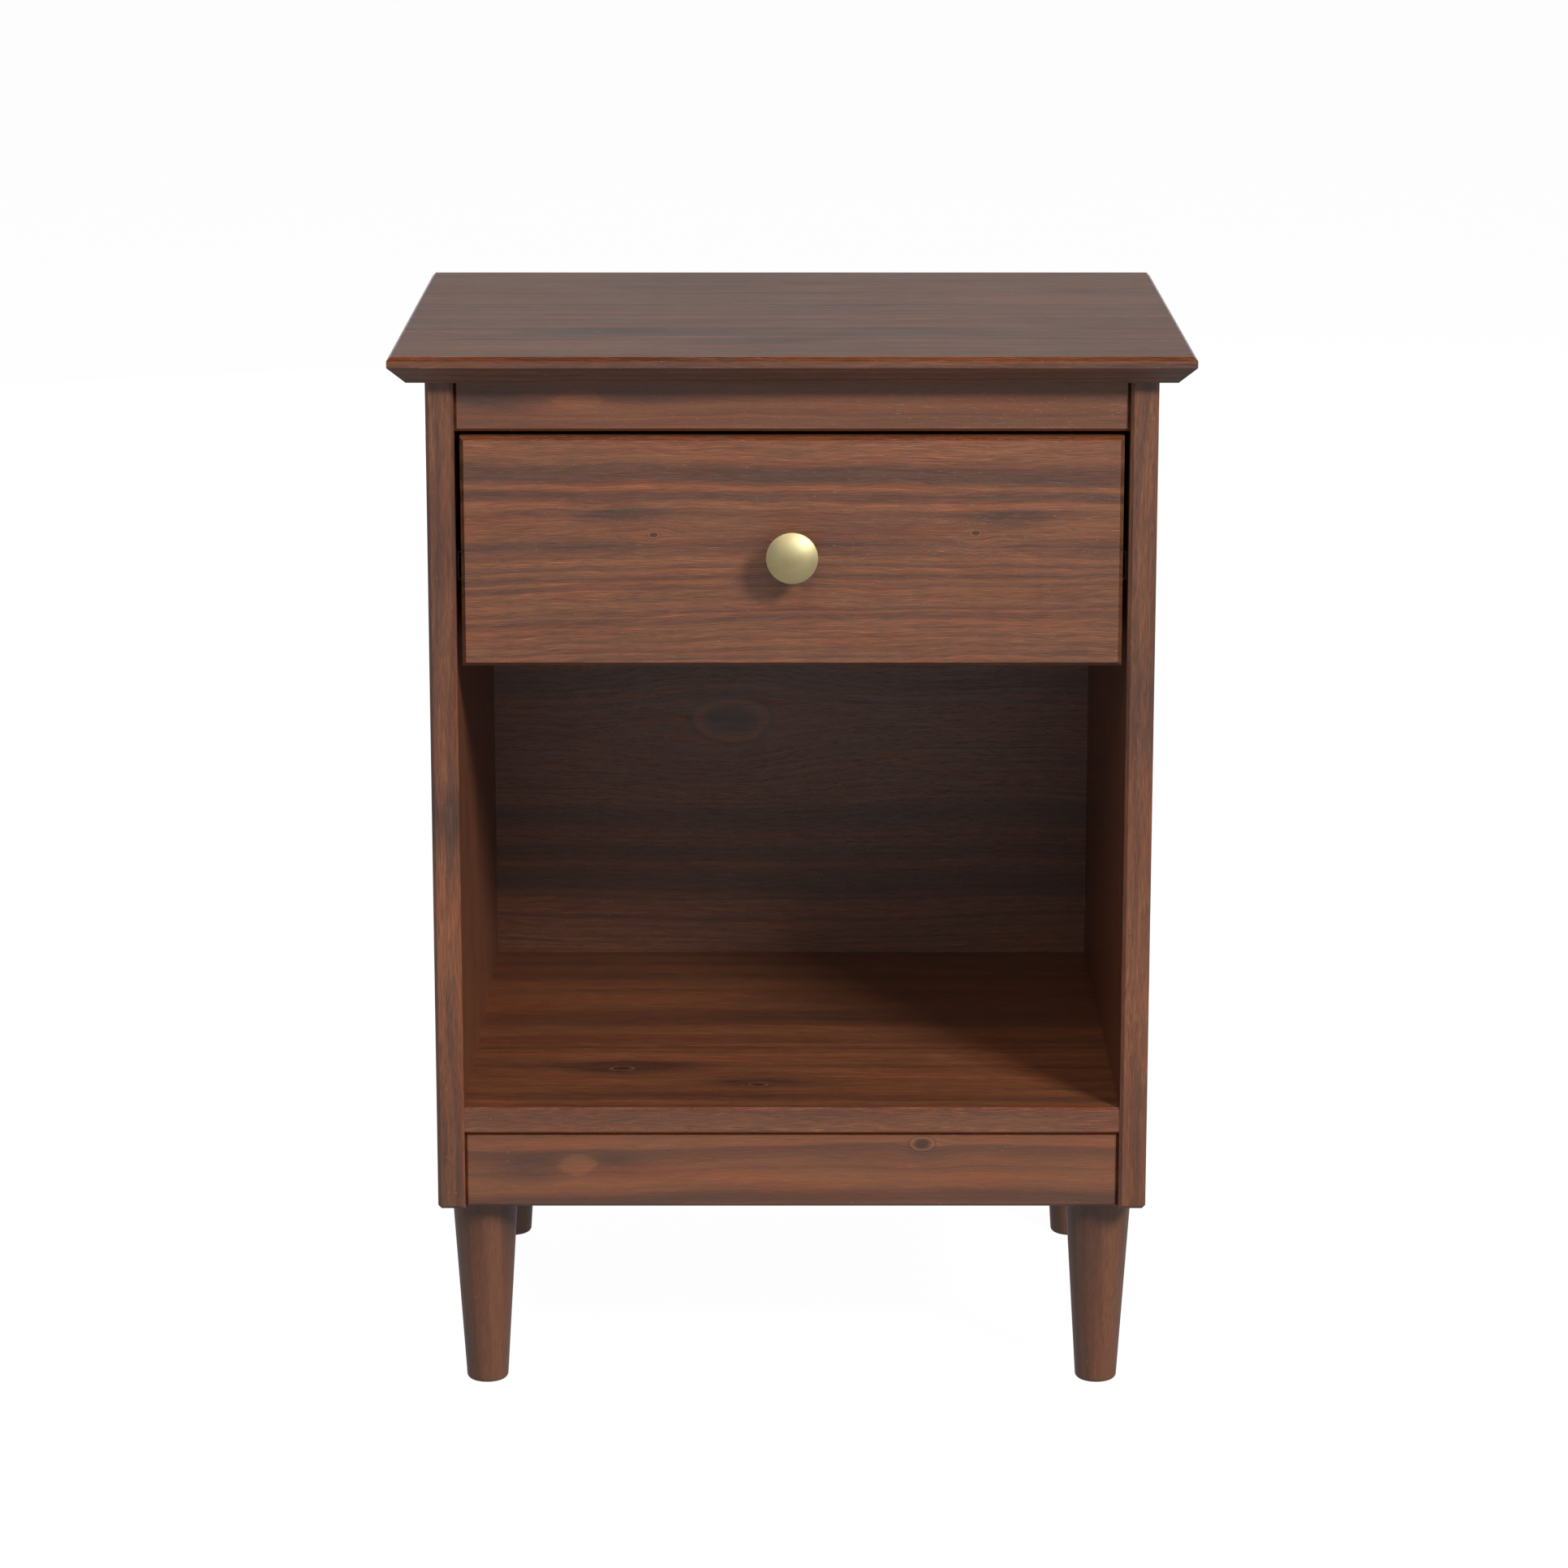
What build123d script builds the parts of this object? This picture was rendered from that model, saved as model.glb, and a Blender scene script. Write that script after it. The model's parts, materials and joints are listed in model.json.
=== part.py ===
from build123d import *
import os

# A side table with one drawer, in millimetres: a board carcass on four turned legs, an inset
# drawer on side-mounted ball slides and an open compartment below it.
# +X is the right-hand side, +Y the back and +Z up. The origin is on the floor, under the middle
# of the overall box. "Depth" is measured backwards from the front edges of the side panels.

# ---- Overall sizes ----
TOP_WIDTH = 457.2
TOP_DEPTH = 381.0
TOTAL_HEIGHT = 627.4
BODY_WIDTH = 417.4
BODY_DEPTH = 359.0
LEG_HEIGHT = 118.6
BOARD = 16.0  # thickness of the carcass boards and of the drawer front
EDGE_CHAMFER = 2.0  # on the long edges that a hand meets

# ---- Top panel ----
TOP_THICKNESS = 15.9
TOP_OVERHANG = 20.0  # at the front
TOP_UPPER_CHAMFER = 2.2
TOP_EDGE_FLAT = 3.9  # upright band between the chamfer and the bevel
TOP_BEVEL_RUN = 10.0  # how far the underside bevel reaches inwards

# ---- Boards of the carcass ----
BACK_THICKNESS = 5.0
BACK_SUNK = 0.1  # how far the back panel lies inside the side panels' rear edges
RABBET_WIDTH = 8.0  # the step in each side panel that takes the back panel
RAIL_SETBACK = 5.0  # the rails stand this far behind the side panels' front edges
SHELF_SETBACK = 2.5
SHELF_HEIGHT = 164.3  # underside of the shelf
UPPER_FRONT_RAIL_HEIGHT = 30.1
UPPER_REAR_RAIL_HEIGHT = 40.0
RAIL_CHAMFER = 1.7
SHELF_CHAMFER = 1.3
CLEAT = 18.0  # square strips that hold the top
BLOCK = 40.0  # square corner blocks over the legs

# ---- Legs ----
LEG_X = 183.2
LEG_DEPTHS = {"front": 40.0, "rear": 319.0}
LEG_TOP_RADIUS = 19.75
LEG_FOOT_RADIUS = 12.25
FOOT_ROUND = 2.8
BOLT_RADIUS = 4.0
BOLT_CHAMFER = 0.7
BOLT_IN_LEG = 38.0
BOLT_IN_BLOCK = 26.0
INSERT_RADIUS = 6.0
INSERT_LENGTH = 20.0

# ---- Drawer ----
DRAWER_FRONT_WIDTH = 379.2
DRAWER_FRONT_BOTTOM = 445.4
DRAWER_FRONT_TOP = 578.9
DRAWER_SETBACK = 2.0
DRAWER_CHAMFER = 2.2
BOX_WIDTH = 365.0
BOX_BOTTOM = 455.0
BOX_TOP = 555.0
BOX_LENGTH = 320.0
BOX_BOARD = 12.0
BOX_TOP_ROUND = 1.5
BOTTOM_THICKNESS = 4.0
BOTTOM_LIFT = 7.0  # underside of the drawer bottom above the lower edges of the sides
GROOVE = 6.0

# ---- Knob ----
KNOB_DIAMETER = 29.8
KNOB_PROJECTION = 24.0
KNOB_BASE_RADIUS = 8.0
KNOB_BASE_HEIGHT = 1.4
KNOB_NECK_RADIUS = 5.6
KNOB_NECK_HEIGHT = 8.0  # where the neck is thinnest
KNOB_HOLLOW = (6.0, 3.6)  # radius and height of a point on the curve above the base
KNOB_FLARE = (7.8, 14.2)  # the same, on the curve under the head
KNOB_DOME = 3.9  # height of the shallow dome
KNOB_RIM_ROUND = 0.6

# ---- Drawer slides: two nested channels with balls between them ----
SLIDE_LENGTH = 300.0
SLIDE_START = 19.0  # depth of the front ends
SLIDE_HEIGHT = 17.0
SLIDE_MIDDLE = 501.2  # height of the slides' middle line
SLIDE_SHEET = 1.0
SLIDE_BEND = 0.8  # outside radius of the channels' bends
INNER_CHANNEL_HEIGHT = 8.0
CHANNEL_LEG = 7.2  # how far each channel's flanges stand out from its web
STOP_HEIGHT = 6.0
STOP_THICKNESS = 1.2
STOP_GAP = 0.5  # between the closed drawer's channels and the rear stops
BALL_RADIUS = 1.5
BALL_HEIGHT = 5.75  # of the ball rows, above and below the middle line
BALL_PITCH = 9.0
CAGE_LENGTH = 70.0
CAGE_SHEET = 0.5
CAGE_START = 134.0
CAGE_GAP = 0.25  # between the cage and the cabinet channel's web
CAGE_INSET = 0.9  # of the cage's free edges from the drawer channel's web

# ---- Fasteners ----
DOWEL_RADIUS = 3.0
DOWEL_CHAMFER = 0.6
SCREW_RADIUS = 1.75
THIN_SCREW_RADIUS = 1.5
KNOB_SCREW_RADIUS = 2.0
HEAD_RADIUS = 2.0  # of a countersunk head, over its shank's radius
HEAD_HEIGHT = 1.1  # the same
PAN_HEAD_RADIUS = 1.8  # of a pan head, over its shank's radius
PAN_HEAD_HEIGHT = 1.15  # the same
PAN_HEAD_ROUND = 0.6  # over the head's height
TIP_LENGTH = 2.0  # over the shank's radius
TIP_RADIUS = 0.2  # the same
RECESS_LENGTH = 1.05  # of a cross recess, over the head's radius
RECESS_WIDTH = 0.22  # the same
RECESS_DEPTH = 0.9
WELL_RADIUS = 3.6  # of the counterbores in the corner blocks
WELL_DEPTH = 14.0
CLEAT_SCREW_LENGTH = 28.0
BACK_SCREW_LENGTH = 16.0
BLOCK_SCREW_LENGTH = 36.0
BOX_SCREW_LENGTH = 32.0
KNOB_SCREW_LENGTH = 28.0
CABINET_SLIDE_SCREW_LENGTH = 13.0
DRAWER_SLIDE_SCREW_LENGTH = 10.0
PAIR_SHARE = 0.27  # how far a pair of fasteners stands in from the two ends of a board

# ---- Fits ----
FIT = 0.05  # extra radius of a hole round its dowel or screw
BALL_FIT = 0.1
END_GAP = 0.5  # extra depth of a blind hole

# ---- Places worked out from the sizes above ----
INNER_X = BODY_WIDTH / 2 - BOARD
BODY_TOP = TOTAL_HEIGHT - TOP_THICKNESS
SHELF_TOP = SHELF_HEIGHT + BOARD
BACK_FACE = BODY_DEPTH - BACK_SUNK
BACK_FRONT = BACK_FACE - BACK_THICKNESS
FRONT_Y = (KNOB_PROJECTION - DRAWER_SETBACK + TOP_OVERHANG - TOP_DEPTH) / 2
BOX_X = BOX_WIDTH / 2
BOX_START = DRAWER_SETBACK + BOARD
BOX_END = BOX_START + BOX_LENGTH
FRONT_RAIL_BACK = RAIL_SETBACK + BOARD
REAR_RAIL_FRONT = BACK_FRONT - BOARD
SLIDE_END = SLIDE_START + SLIDE_LENGTH
KNOB_Z = (DRAWER_FRONT_BOTTOM + DRAWER_FRONT_TOP) / 2

FROM_BASE = (Align.CENTER, Align.CENTER, Align.MIN)
RIGHT, BACK, UP = (1, 0, 0), (0, 1, 0), (0, 0, 1)
FRONT = (0, -1, 0)

nodes = {}  # boards and other pieces that fasteners go into, by name
fasteners = {}  # screws, dowels and other small pieces, by name
bores = []  # every hole that a fastener needs, cut from the nodes at the end


# ---- Helpers ----
def at_depth(depth):
    """The Y coordinate of a depth behind the side panels' front edges."""
    return FRONT_Y + depth


def block(x, depth, z):
    """A rectangular piece between pairs of limits in X, depth and Z."""
    limits = (x, [at_depth(d) for d in depth], z)
    size = [high - low for low, high in limits]
    middle = [(high + low) / 2 for low, high in limits]
    return Pos(*middle) * Box(*size)


def place(x, depth, z, direction):
    """A plane whose normal is the way that a fastener points."""
    return Plane(origin=(x, at_depth(depth), z), z_dir=direction)


def evenly(low, high, count):
    """The middles of equal shares of a length."""
    return [low + (high - low) * (i + 0.5) / count for i in range(count)]


def pair(low, high):
    """Two places on a length, one near each end."""
    inset = PAIR_SHARE * (high - low)
    return [low + inset, high - inset]


def front_face(piece):
    """The foremost face of a piece."""
    return piece.faces().sort_by(Axis.Y)[0]


def both_sides(name, piece):
    """Keeps a piece made for the right-hand side, and its mirror image for the left."""
    nodes[f"right_{name}"] = piece
    nodes[f"left_{name}"] = mirror(piece, about=Plane.YZ)


def group(name, pieces):
    """Keeps identical fasteners as one node of separate solids."""
    fasteners[name] = Compound([solid for piece in pieces for solid in piece.solids()])


def boxes_meet(one, other):
    """Whether the bounding boxes of two shapes overlap."""
    a, b = one.bounding_box(), other.bounding_box()
    lows, highs = (*a.min, *b.min), (*b.max, *a.max)
    return all(low < high for low, high in zip(lows, highs))


def drill(piece):
    """Cuts every fastener's hole that reaches the piece."""
    near = [bore for bore in bores if boxes_meet(piece, bore)]
    return piece - near if near else piece


# ---- Fasteners: each returns the piece and leaves its hole in bores ----
def dowel(plane, length):
    """A wooden dowel with eased ends, centred on the plane."""
    centred = (Align.CENTER, Align.CENTER, Align.CENTER)
    body = Cylinder(DOWEL_RADIUS, length, align=centred)
    bores.append(plane * Cylinder(DOWEL_RADIUS + FIT, length + 2 * END_GAP, align=centred))
    return plane * chamfer(body.edges(), DOWEL_CHAMFER)


def cross_recess(head_radius):
    """The cross-shaped socket in a screw head, cut downwards from its face."""
    length, width = RECESS_LENGTH * head_radius, RECESS_WIDTH * head_radius
    arm = Box(length, width, RECESS_DEPTH, align=FROM_BASE)
    return arm + Rot(0, 0, 90) * arm


def countersunk_screw(plane, length, radius=SCREW_RADIUS):
    """A flat-headed wood screw whose head is flush with the plane."""
    head_radius, tip = HEAD_RADIUS * radius, TIP_LENGTH * radius

    def outline(grow):
        wide, narrow = radius + grow, TIP_RADIUS * radius + grow
        head = Cone(head_radius + grow, wide, HEAD_HEIGHT * radius, align=FROM_BASE)
        shank = Cylinder(wide, length - tip, align=FROM_BASE)
        point = Cone(wide, narrow, tip, align=FROM_BASE)
        return head + shank + Pos(0, 0, length - tip) * point

    mouth = Pos(0, 0, -END_GAP) * Cylinder(head_radius + FIT, END_GAP, align=FROM_BASE)
    bores.append(plane * (outline(FIT) + mouth))
    return plane * (outline(0) - cross_recess(head_radius))


def pan_head_screw(plane, length, radius):
    """A screw whose round head stands on the plane and whose shank goes into it."""
    head_radius, head_height = PAN_HEAD_RADIUS * radius, PAN_HEAD_HEIGHT * radius
    above = Pos(0, 0, -head_height)
    head = above * Cylinder(head_radius, head_height, align=FROM_BASE)
    head = fillet(head.edges().sort_by(Axis.Z)[0], PAN_HEAD_ROUND * head_height)
    shank = Cylinder(radius, length, align=FROM_BASE)
    bores.append(plane * Cylinder(radius + FIT, length + END_GAP, align=FROM_BASE))
    return plane * (head + shank - above * cross_recess(head_radius))


# ---- Carcass ----
def top_panel():
    """The overhanging top: a chamfered slab over an underside bevelled on three sides."""
    half = TOP_WIDTH / 2
    front, rear = -TOP_OVERHANG, TOP_DEPTH - TOP_OVERHANG
    bevel_top = TOTAL_HEIGHT - TOP_UPPER_CHAMFER - TOP_EDGE_FLAT
    slab = block((-half, half), (front, rear), (bevel_top, TOTAL_HEIGHT))
    slab = chamfer(slab.faces().sort_by(Axis.Z)[-1].edges(), TOP_UPPER_CHAMFER)

    def outline(inset, height):
        depth = rear - front - inset
        middle = at_depth((rear + front + inset) / 2)
        return Pos(0, middle, height) * Rectangle(TOP_WIDTH - 2 * inset, depth)

    return slab + loft([outline(TOP_BEVEL_RUN, BODY_TOP), outline(0, bevel_top)], ruled=True)


def side_panel():
    """The right-hand side board, rabbeted for the back panel, with eased outer edges."""
    panel = block((INNER_X, BODY_WIDTH / 2), (0, BODY_DEPTH), (LEG_HEIGHT, BODY_TOP))
    outer_low = panel.edges().filter_by(Axis.Y).sort_by(Axis.Z)[:2].sort_by(Axis.X)[-1]
    front_edges = front_face(panel).edges().sort_by(Axis.Z)[:-1]
    panel = chamfer([*front_edges, outer_low], EDGE_CHAMFER)
    rabbet = block(
        (INNER_X, INNER_X + RABBET_WIDTH), (BACK_FRONT, BODY_DEPTH), (LEG_HEIGHT, BODY_TOP)
    )
    return panel - rabbet


def cross_board(depth, z):
    """A square-edged board from one side panel to the other."""
    return block((-INNER_X, INNER_X), depth, z)


def front_rail(z):
    """A rail across the front, its face eased all round."""
    rail = cross_board((RAIL_SETBACK, FRONT_RAIL_BACK), z)
    return chamfer(front_face(rail).edges(), RAIL_CHAMFER)


def bottom_shelf():
    """The shelf, its front face eased along the upper and lower edges."""
    shelf = cross_board((SHELF_SETBACK, BACK_FRONT), (SHELF_HEIGHT, SHELF_TOP))
    return chamfer(front_face(shelf).edges().filter_by(Axis.X), SHELF_CHAMFER)


def rear_rail(z):
    """A hidden rail against the back panel."""
    return cross_board((REAR_RAIL_FRONT, BACK_FRONT), z)


def make_carcass():
    """The boards that are glued, dowelled and screwed into the cabinet."""
    nodes["top_panel"] = top_panel()
    both_sides("side_panel", side_panel())
    nodes["back_panel"] = block(
        (-INNER_X - RABBET_WIDTH, INNER_X + RABBET_WIDTH),
        (BACK_FRONT, BACK_FACE),
        (LEG_HEIGHT + EDGE_CHAMFER, BODY_TOP),
    )
    nodes["bottom_shelf"] = bottom_shelf()
    nodes["upper_front_rail"] = front_rail((BODY_TOP - UPPER_FRONT_RAIL_HEIGHT, BODY_TOP))
    nodes["lower_front_apron"] = front_rail((LEG_HEIGHT, SHELF_HEIGHT))
    nodes["upper_rear_rail"] = rear_rail((BODY_TOP - UPPER_REAR_RAIL_HEIGHT, BODY_TOP))
    nodes["lower_rear_rail"] = rear_rail((LEG_HEIGHT, SHELF_HEIGHT))
    both_sides(
        "top_cleat",
        block(
            (INNER_X - CLEAT, INNER_X),
            (FRONT_RAIL_BACK, REAR_RAIL_FRONT),
            (BODY_TOP - CLEAT, BODY_TOP),
        ),
    )


def carcass_dowels():
    """Dowels from the side panels into the ends of the rails, the apron and the shelf."""
    in_side, in_board = 10.0, 12.0
    middle_x = INNER_X + (in_side - in_board) / 2
    front, rear = (RAIL_SETBACK + FRONT_RAIL_BACK) / 2, (REAR_RAIL_FRONT + BACK_FRONT) / 2
    low = pair(LEG_HEIGHT, SHELF_HEIGHT)
    spots = [(front, z) for z in low + pair(BODY_TOP - UPPER_FRONT_RAIL_HEIGHT, BODY_TOP)]
    spots += [(rear, z) for z in low + pair(BODY_TOP - UPPER_REAR_RAIL_HEIGHT, BODY_TOP)]
    spots += [(depth, SHELF_HEIGHT + BOARD / 2) for depth in evenly(0, BACK_FRONT, 3)]
    return [
        dowel(place(side * middle_x, depth, z, RIGHT), in_side + in_board)
        for depth, z in spots
        for side in (-1, 1)
    ]


def top_fixing_screws():
    """Screws up through the cleats into the top."""
    x, z = INNER_X - CLEAT / 2, BODY_TOP - CLEAT
    return [
        countersunk_screw(place(side * x, depth, z, UP), CLEAT_SCREW_LENGTH)
        for depth in evenly(FRONT_RAIL_BACK, REAR_RAIL_FRONT, 3)
        for side in (-1, 1)
    ]


def cleat_screws():
    """Screws through the cleats into the side panels."""
    x, z = INNER_X - CLEAT, BODY_TOP - CLEAT / 2
    return [
        countersunk_screw(place(side * x, depth, z, (side, 0, 0)), CLEAT_SCREW_LENGTH)
        for depth in evenly(FRONT_RAIL_BACK, REAR_RAIL_FRONT, 2)
        for side in (-1, 1)
    ]


def back_panel_screws():
    """Screws through the back panel into the side panels and the rear rails."""
    edge_x = INNER_X + RABBET_WIDTH / 2
    rail_heights = ((LEG_HEIGHT + SHELF_HEIGHT) / 2, BODY_TOP - UPPER_REAR_RAIL_HEIGHT / 2)
    spots = [(side * edge_x, z) for side in (-1, 1) for z in evenly(LEG_HEIGHT, BODY_TOP, 4)]
    spots += [(x, z) for x in evenly(-INNER_X, INNER_X, 3) for z in rail_heights]
    return [
        countersunk_screw(place(x, BACK_FACE, z, FRONT), BACK_SCREW_LENGTH, THIN_SCREW_RADIUS)
        for x, z in spots
    ]


def make_carcass_fasteners():
    """Everything that holds the carcass boards together."""
    group("carcass_dowels", carcass_dowels())
    group("top_fixing_screws", top_fixing_screws())
    group("cleat_screws", cleat_screws())
    group("back_panel_screws", back_panel_screws())


# ---- Legs and the corner blocks that they screw into ----
def leg(x, depth):
    """A turned leg that tapers to a rounded foot."""
    turned = Cone(LEG_FOOT_RADIUS, LEG_TOP_RADIUS, LEG_HEIGHT, align=FROM_BASE)
    turned = fillet(turned.edges().sort_by(Axis.Z)[0], FOOT_ROUND)
    return Pos(x, at_depth(depth), 0) * turned


def corner_block(side, end):
    """A glued block in a corner, between a side panel and the front or rear rail."""
    depth = (FRONT_RAIL_BACK, FRONT_RAIL_BACK + BLOCK)
    if end == "rear":
        depth = (REAR_RAIL_FRONT - BLOCK, REAR_RAIL_FRONT)
    x = sorted((side * (INNER_X - BLOCK), side * INNER_X))
    return block(x, depth, (LEG_HEIGHT, SHELF_HEIGHT))


def block_screws(side, end):
    """Two counterbored screws that hold a corner block to its side panel and its rail."""
    far_corner = BLOCK - 6.0  # where both screws run, clear of the leg's bolt
    rail_face, inward, outward = FRONT_RAIL_BACK, 1, FRONT
    if end == "rear":
        rail_face, inward, outward = REAR_RAIL_FRONT, -1, BACK
    low, high = pair(LEG_HEIGHT, SHELF_HEIGHT)
    floor = BLOCK - WELL_DEPTH  # of each counterbore, from the face that the screw goes into
    planes = (
        place(side * (INNER_X - floor), rail_face + inward * far_corner, high, (side, 0, 0)),
        place(side * (INNER_X - far_corner), rail_face + inward * floor, low, outward),
    )
    for plane in planes:
        mouth = Pos(0, 0, -WELL_DEPTH - END_GAP)
        bores.append(plane * mouth * Cylinder(WELL_RADIUS, WELL_DEPTH + END_GAP, align=FROM_BASE))
    return [countersunk_screw(plane, BLOCK_SCREW_LENGTH) for plane in planes]


def hanger_bolt(x, depth):
    """A headless bolt that stands up out of the leg and screws into the insert above it."""
    length = BOLT_IN_LEG + BOLT_IN_BLOCK
    plane = place(x, depth, LEG_HEIGHT - BOLT_IN_LEG, UP)
    bores.append(
        plane * Pos(0, 0, -END_GAP)
        * Cylinder(BOLT_RADIUS + FIT, length + 2 * END_GAP, align=FROM_BASE)
    )
    return plane * chamfer(Cylinder(BOLT_RADIUS, length, align=FROM_BASE).edges(), BOLT_CHAMFER)


def insert(x, depth):
    """A threaded sleeve sunk into a corner block."""
    plane = place(x, depth, LEG_HEIGHT, UP)
    bores.append(plane * Cylinder(INSERT_RADIUS + FIT, INSERT_LENGTH, align=FROM_BASE))
    sleeve = Cylinder(INSERT_RADIUS, INSERT_LENGTH, align=FROM_BASE)
    return plane * (sleeve - Cylinder(BOLT_RADIUS + FIT, INSERT_LENGTH, align=FROM_BASE))


def make_legs():
    """Four legs with their blocks, bolts, inserts and screws."""
    bolts, inserts, screws = [], [], []
    for end, depth in LEG_DEPTHS.items():
        for side_name, side in (("left", -1), ("right", 1)):
            x = side * LEG_X
            nodes[f"{end}_{side_name}_leg"] = leg(x, depth)
            nodes[f"{end}_{side_name}_corner_block"] = corner_block(side, end)
            bolts.append(hanger_bolt(x, depth))
            inserts.append(insert(x, depth))
            screws += block_screws(side, end)
    group("leg_hanger_bolts", bolts)
    group("leg_inserts", inserts)
    group("corner_block_screws", screws)


# ---- Drawer ----
def bottom_groove():
    """The space of the drawer bottom, let into the boards on all four sides."""
    reach = GROOVE + END_GAP
    low = BOX_BOTTOM + BOTTOM_LIFT
    inner_x = BOX_X - BOX_BOARD
    return block(
        (-inner_x - reach, inner_x + reach),
        (BOX_START - reach, BOX_END - BOX_BOARD + reach),
        (low - FIT, low + BOTTOM_THICKNESS + FIT),
    )


def drawer_front():
    """The inset front, its face eased all round."""
    half = DRAWER_FRONT_WIDTH / 2
    height = (DRAWER_FRONT_BOTTOM, DRAWER_FRONT_TOP)
    front = block((-half, half), (DRAWER_SETBACK, BOX_START), height)
    return chamfer(front_face(front).edges(), DRAWER_CHAMFER) - bottom_groove()


def drawer_side():
    """The right-hand side of the drawer box, with rounded upper edges."""
    side = block((BOX_X - BOX_BOARD, BOX_X), (BOX_START, BOX_END), (BOX_BOTTOM, BOX_TOP))
    upper = side.faces().sort_by(Axis.Z)[-1].edges().filter_by(Axis.Y)
    return fillet(upper, BOX_TOP_ROUND) - bottom_groove()


def drawer_back():
    """The rear board of the drawer box, between the sides."""
    inner_x = BOX_X - BOX_BOARD
    back = block((-inner_x, inner_x), (BOX_END - BOX_BOARD, BOX_END), (BOX_BOTTOM, BOX_TOP))
    upper = back.faces().sort_by(Axis.Z)[-1].edges().filter_by(Axis.X)
    return fillet(upper, BOX_TOP_ROUND) - bottom_groove()


def drawer_bottom():
    """The thin board that sits in the grooves."""
    half = BOX_X - BOX_BOARD + GROOVE
    low = BOX_BOTTOM + BOTTOM_LIFT
    return block(
        (-half, half),
        (BOX_START - GROOVE, BOX_END - BOX_BOARD + GROOVE),
        (low, low + BOTTOM_THICKNESS),
    )


def knob_outline():
    """Half of the knob's section: radius against distance from the drawer front."""
    rim, ease = KNOB_DIAMETER / 2, KNOB_RIM_ROUND
    dome_edge = (rim - ease, KNOB_PROJECTION - KNOB_DOME)
    dome_radius = (dome_edge[0] ** 2 + KNOB_DOME**2) / (2 * KNOB_DOME)
    widest = dome_edge[1] - ease
    under_rim = (rim - ease, widest - ease)
    base = (KNOB_BASE_RADIUS, KNOB_BASE_HEIGHT)
    neck = (KNOB_NECK_RADIUS, KNOB_NECK_HEIGHT)
    return [
        Line((0, 0), (KNOB_BASE_RADIUS, 0)),
        Line((KNOB_BASE_RADIUS, 0), base),
        ThreePointArc(base, KNOB_HOLLOW, neck),
        ThreePointArc(neck, KNOB_FLARE, under_rim),
        ThreePointArc(under_rim, (rim, widest), dome_edge),
        RadiusArc(dome_edge, (0, KNOB_PROJECTION), -dome_radius),
        Line((0, KNOB_PROJECTION), (0, 0)),
    ]


def knob():
    """A turned knob: a small foot, a waisted neck and a shallow domed head."""
    turned = revolve(make_face(Wire(knob_outline())), axis=Axis.Y)
    return Pos(0, at_depth(DRAWER_SETBACK), KNOB_Z) * Rot(0, 0, 180) * turned


def make_drawer():
    """The drawer with its dowels, screws and knob."""
    nodes["drawer_front"] = drawer_front()
    both_sides("drawer_side", drawer_side())
    nodes["drawer_back"] = drawer_back()
    nodes["drawer_bottom"] = drawer_bottom()
    nodes["knob"] = knob()

    in_front, in_side = 10.0, 20.0
    dowel_x = BOX_X - BOX_BOARD / 2
    dowel_depth = BOX_START + (in_side - in_front) / 2
    heights = pair(BOX_BOTTOM, BOX_TOP)
    dowels, screws = [], []
    for side in (-1, 1):
        for z in heights:
            dowels.append(dowel(place(side * dowel_x, dowel_depth, z, BACK), in_front + in_side))
            back = place(side * BOX_X, BOX_END - BOX_BOARD / 2, z, (-side, 0, 0))
            screws.append(countersunk_screw(back, BOX_SCREW_LENGTH))
    group("drawer_dowels", dowels)
    group("drawer_box_screws", screws)
    behind_knob = place(0, BOX_START, KNOB_Z, FRONT)
    group("knob_screw", [pan_head_screw(behind_knob, KNOB_SCREW_LENGTH, KNOB_SCREW_RADIUS)])


# ---- Slides, made for the right-hand side ----
def at_slide(low, high):
    """Height limits measured from the slides' middle line."""
    return (SLIDE_MIDDLE + low, SLIDE_MIDDLE + high)


def channel(web_x, outward, height, length):
    """A C-section channel: its web at web_x, with both flanges towards outward (+1 or -1)."""
    half = height / 2
    depth = (SLIDE_START, SLIDE_START + length)
    web = sorted((web_x, web_x + outward * SLIDE_SHEET))
    flange = sorted((web_x, web_x + outward * (SLIDE_SHEET + CHANNEL_LEG)))
    shape = block(web, depth, at_slide(-half, half))
    shape += block(flange, depth, at_slide(half - SLIDE_SHEET, half))
    shape += block(flange, depth, at_slide(-half, SLIDE_SHEET - half))
    bends = shape.edges().filter_by(Axis.Y).group_by(Axis.X)[0 if outward > 0 else -1]
    return fillet(bends, SLIDE_BEND)


def cabinet_member():
    """The outer channel, on the side panel, with a stop across its rear end."""
    stop = block(
        (INNER_X - CHANNEL_LEG, INNER_X),
        (SLIDE_END, SLIDE_END + STOP_THICKNESS),
        at_slide(-STOP_HEIGHT / 2, STOP_HEIGHT / 2),
    )
    return channel(INNER_X, -1, SLIDE_HEIGHT, SLIDE_LENGTH) + stop


def drawer_member():
    """The inner channel, on the drawer side; it ends just short of the stop."""
    return channel(BOX_X, 1, INNER_CHANNEL_HEIGHT, SLIDE_LENGTH - STOP_GAP)


def ball_places():
    """Middle points of the balls of one slide."""
    count = int(CAGE_LENGTH // BALL_PITCH)
    first = CAGE_START + (CAGE_LENGTH - (count - 1) * BALL_PITCH) / 2
    return [
        ((BOX_X + INNER_X) / 2, at_depth(first + i * BALL_PITCH), SLIDE_MIDDLE + height)
        for i in range(count)
        for height in (-BALL_HEIGHT, BALL_HEIGHT)
    ]


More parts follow.
